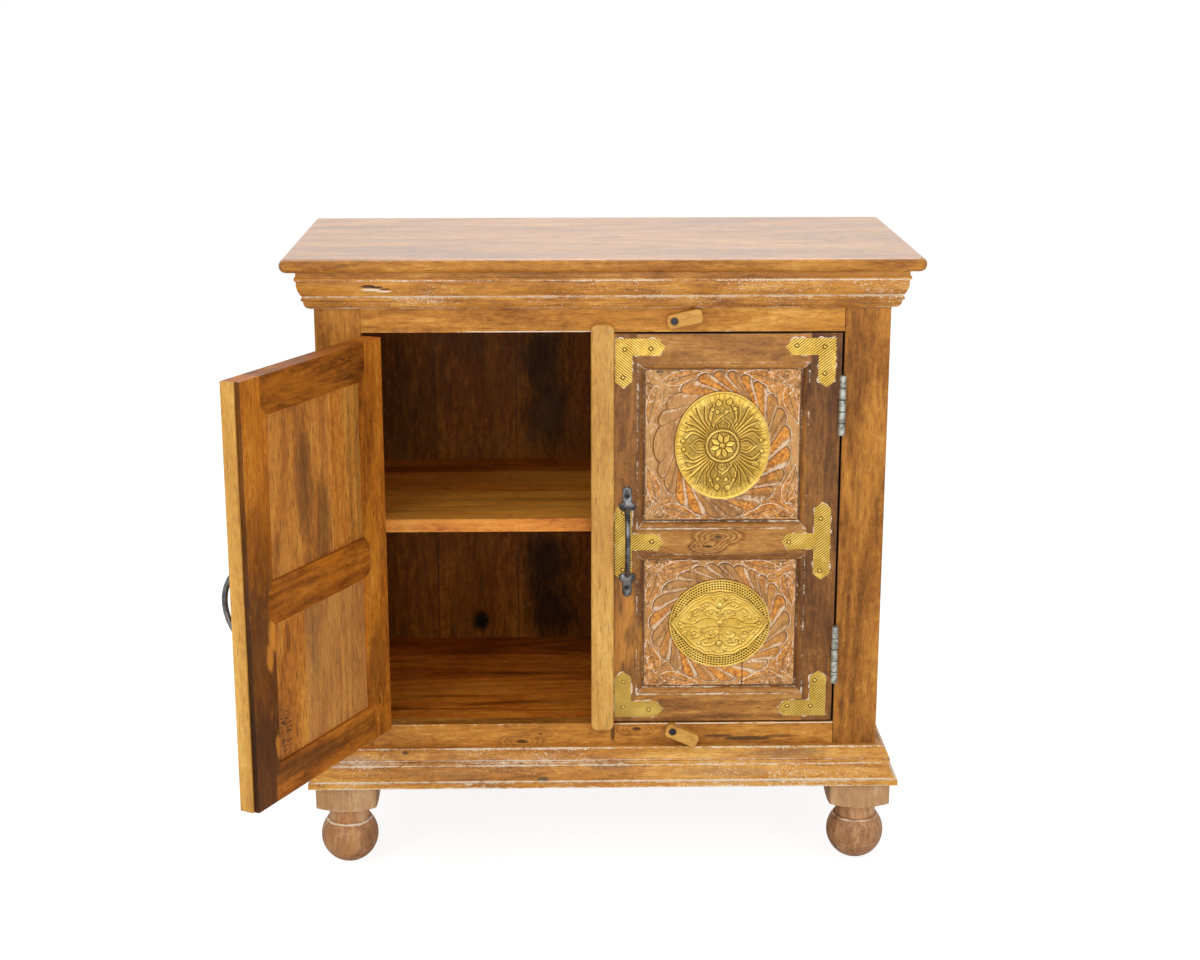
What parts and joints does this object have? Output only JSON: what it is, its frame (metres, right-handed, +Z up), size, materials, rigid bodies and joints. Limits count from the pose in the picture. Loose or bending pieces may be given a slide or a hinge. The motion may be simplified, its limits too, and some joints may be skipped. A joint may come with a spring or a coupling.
{
  "type": "moroccan carved cabinet",
  "caption": "Low wooden cabinet with carved panel doors, embossed brass ovals and corner plates, iron handles, turn buttons, one shelf and turned ball feet.",
  "frame": {"origin": "on the floor, under the middle of the carcass", "axes": "+Z up, +X to the right of someone facing the doors, +Y from the doors towards the back boards"},
  "size_m": [0.9419, 0.706, 0.908],
  "materials": {
    "top_wood": "satin wax over worn boards",
    "frame_wood": "waxed, rubbed edges with traces of limewash",
    "carved_wood": "chip carved, limewash left in the cuts",
    "turned_wood": "waxed turning with pale scuffs",
    "inner_wood": "dark stained and dusty",
    "pale_wood": "plain waxed lath",
    "embossed_brass": "pressed sheet, aged in the hollows",
    "forged_iron": "dark hammered iron",
    "hinge_steel": "dull aged steel",
    "black_screws": "black lacquered steel"
  },
  "bodies": {
    "carcass": {"top_board": "top_wood", "cornice_front": "frame_wood", "cornice_left": "frame_wood", "cornice_right": "frame_wood", "base_moulding_front": "frame_wood", "base_moulding_left": "frame_wood", "base_moulding_right": "frame_wood", "left_frame_stile": "frame_wood", "right_frame_stile": "frame_wood", "top_rail": "frame_wood", "bottom_rail": "frame_wood", "left_side_panel": "frame_wood", "right_side_panel": "frame_wood", "back_boards": "inner_wood", "back_top_rail": "inner_wood", "back_bottom_rail": "inner_wood", "shelf_boards": "inner_wood", "floor_boards": "inner_wood", "top_cleats": "inner_wood", "floor_cleat": "inner_wood", "foot_corner_blocks": "inner_wood", "foot_front_left": "turned_wood", "foot_front_right": "turned_wood", "foot_back_left": "turned_wood", "foot_back_right": "turned_wood", "left_frame_hinge_leaves": "hinge_steel", "right_frame_hinge_leaves": "hinge_steel", "left_hinge_pins": "hinge_steel", "right_hinge_pins": "hinge_steel", "turn_screws": "black_screws"},
    "left_door": {"left_hinge_stile": "frame_wood", "left_meeting_stile": "frame_wood", "left_door_top_rail": "frame_wood", "left_door_middle_rail": "frame_wood", "left_door_bottom_rail": "frame_wood", "left_upper_carved_panel": "carved_wood", "left_lower_carved_panel": "carved_wood", "left_upper_medallion": "embossed_brass", "left_lower_medallion": "embossed_brass", "left_brass_brackets": "embossed_brass", "left_handle": "forged_iron", "left_door_hinge_leaves": "hinge_steel", "left_edge_strip": "pale_wood"},
    "right_door": {"right_hinge_stile": "frame_wood", "right_meeting_stile": "frame_wood", "right_door_top_rail": "frame_wood", "right_door_middle_rail": "frame_wood", "right_door_bottom_rail": "frame_wood", "right_upper_carved_panel": "carved_wood", "right_lower_carved_panel": "carved_wood", "right_upper_medallion": "embossed_brass", "right_lower_medallion": "embossed_brass", "right_brass_brackets": "embossed_brass", "right_handle": "forged_iron", "right_door_hinge_leaves": "hinge_steel", "meeting_strip": "pale_wood"},
    "upper_turn_button": {"upper_turn_button": "pale_wood"},
    "lower_turn_button": {"lower_turn_button": "pale_wood"}
  },
  "joints": [
    {"name": "left_door_hinge", "type": "hinge", "parent": "carcass", "child": "left_door", "pos_m": [-0.335, -0.2012, 0.5105], "axis": [0, 0, -1], "range_deg": [-117, 58]},
    {"name": "right_door_hinge", "type": "hinge", "parent": "carcass", "child": "right_door", "pos_m": [0.335, -0.2012, 0.5105], "axis": [0, 0, 1], "range_deg": [0, 175]},
    {"name": "upper_turn_button_pivot", "type": "hinge", "parent": "carcass", "child": "upper_turn_button", "pos_m": [0.098, -0.2029, 0.81703], "axis": [0, 1, 0], "range_deg": [0, 102.5]},
    {"name": "lower_turn_button_pivot", "type": "hinge", "parent": "carcass", "child": "lower_turn_button", "pos_m": [0.101, -0.2029, 0.21006], "axis": [0, -1, 0], "range_deg": [0, 114]}
  ]
}
